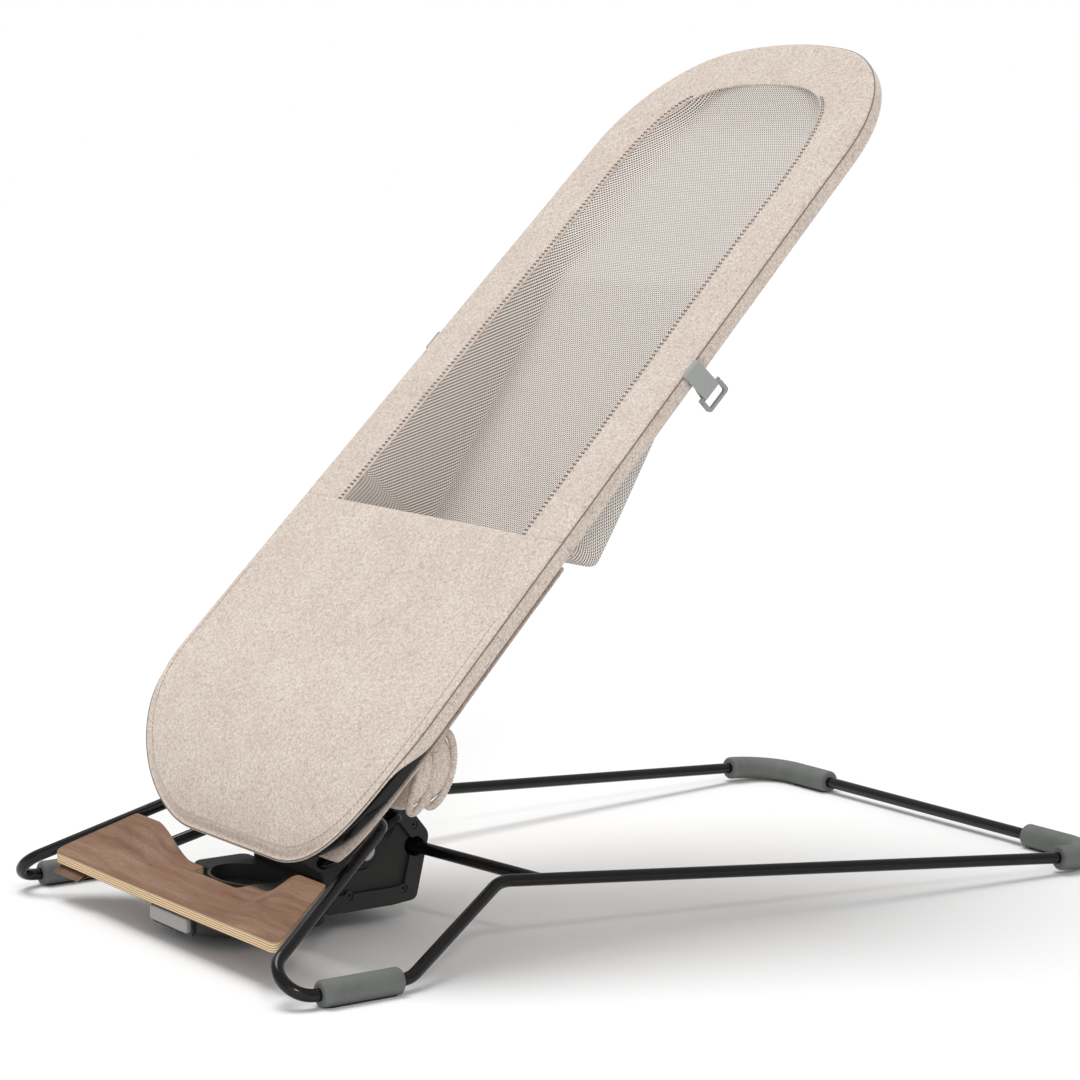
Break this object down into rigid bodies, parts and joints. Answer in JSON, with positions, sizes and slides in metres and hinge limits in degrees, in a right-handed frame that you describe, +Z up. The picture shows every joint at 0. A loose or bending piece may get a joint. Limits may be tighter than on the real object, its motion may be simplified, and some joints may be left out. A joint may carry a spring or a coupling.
{
  "type": "bouncer seat",
  "caption": "Reclining baby bouncer seat with a bent tube base, a hub with a recline button, a plywood footrest and a woven cover with a mesh sling on a hoop.",
  "frame": {"origin": "on the floor, under the centre of the object's bounding box", "axes": "+Z up, +Y towards the head end, +X towards the right as seen from the foot end"},
  "size_m": [0.4558, 0.7815, 0.6693],
  "materials": {
    "black_tube": "gloss black powder coat",
    "steel": "brushed",
    "charcoal_plastic": "fine matte texture",
    "light_plastic": "satin",
    "grey_rubber": "matte moulded rubber",
    "sole_rubber": "matte",
    "walnut_ply": "oiled walnut veneer",
    "tan_leather": "smooth",
    "oat_fabric": "heathered weave",
    "spacer_mesh": "open spacer mesh",
    "grey_webbing": "ribbed webbing",
    "grey_plastic": "satin"
  },
  "bodies": {
    "base": {"branch_rail_left": "black_tube", "branch_rail_right": "black_tube", "button_frame": "charcoal_plastic", "cross_rail": "black_tube", "down_rail_left": "black_tube", "down_rail_right": "black_tube", "foot_soles": "sole_rubber", "footrest_panel": "walnut_ply", "footrest_screws": "steel", "footrest_tabs": "black_tube", "front_foot_left": "grey_rubber", "front_foot_right": "grey_rubber", "front_rail_left": "black_tube", "front_rail_right": "black_tube", "hub_base": "charcoal_plastic", "hub_cover_left": "charcoal_plastic", "hub_cover_right": "charcoal_plastic", "hub_cover_screws": "steel", "hub_deck": "charcoal_plastic", "hub_housing": "charcoal_plastic", "leather_tag": "tan_leather", "lever_lugs": "charcoal_plastic", "lever_pin": "steel", "lever_spring": "steel", "long_rail_left": "black_tube", "long_rail_right": "black_tube", "pivot_bushes": "charcoal_plastic", "rear_foot_left": "grey_rubber", "rear_foot_right": "grey_rubber", "rear_rail": "black_tube"},
    "seat": {"bail_left": "black_tube", "bail_right": "black_tube", "brake_disc": "steel", "cover_border": "oat_fabric", "cover_front_panel": "oat_fabric", "cover_rear_panel": "oat_fabric", "harness_roll": "oat_fabric", "hoop_lower": "black_tube", "hoop_spigots": "steel", "hoop_upper": "black_tube", "mesh_sling": "spacer_mesh", "pivot_arm_left": "black_tube", "pivot_arm_right": "black_tube", "pivot_cap_left": "steel", "pivot_cap_right": "steel", "pivot_shaft": "steel", "side_strap_left": "grey_webbing", "side_strap_right": "grey_webbing"},
    "button": {"recline_button": "light_plastic"},
    "brake": {"brake_lever": "charcoal_plastic"},
    "ring_right": {"strap_ring_right": "grey_plastic"},
    "ring_left": {"strap_ring_left": "grey_plastic"}
  },
  "joints": [
    {"name": "recline", "type": "hinge", "parent": "base", "child": "seat", "pos_m": [0, -0.2277, 0.063], "axis": [-1, 0, 0], "range_deg": [0, 40]},
    {"name": "button_press", "type": "slide", "parent": "base", "child": "button", "axis": [0, 1, 0], "range_m": [0, 0.002], "stiffness_N_per_m": 600},
    {"name": "brake_release", "type": "hinge", "parent": "base", "child": "brake", "pos_m": [0, -0.25, 0.031], "axis": [1, 0, 0], "range_deg": [0, 12.2]},
    {"name": "ring_swing_right", "type": "hinge", "parent": "seat", "child": "ring_right", "pos_m": [0.1792, 0.00288, 0.40832], "axis": [0, 0.7046, 0.7096], "range_deg": [-75, 75]},
    {"name": "ring_swing_left", "type": "hinge", "parent": "seat", "child": "ring_left", "pos_m": [-0.1792, 0.00288, 0.40832], "axis": [0, 0.7046, 0.7096], "range_deg": [-75, 75]}
  ],
  "couplings": [
    {"joint": "brake_release", "follows": "button_press", "rad_per_m": 106}
  ]
}
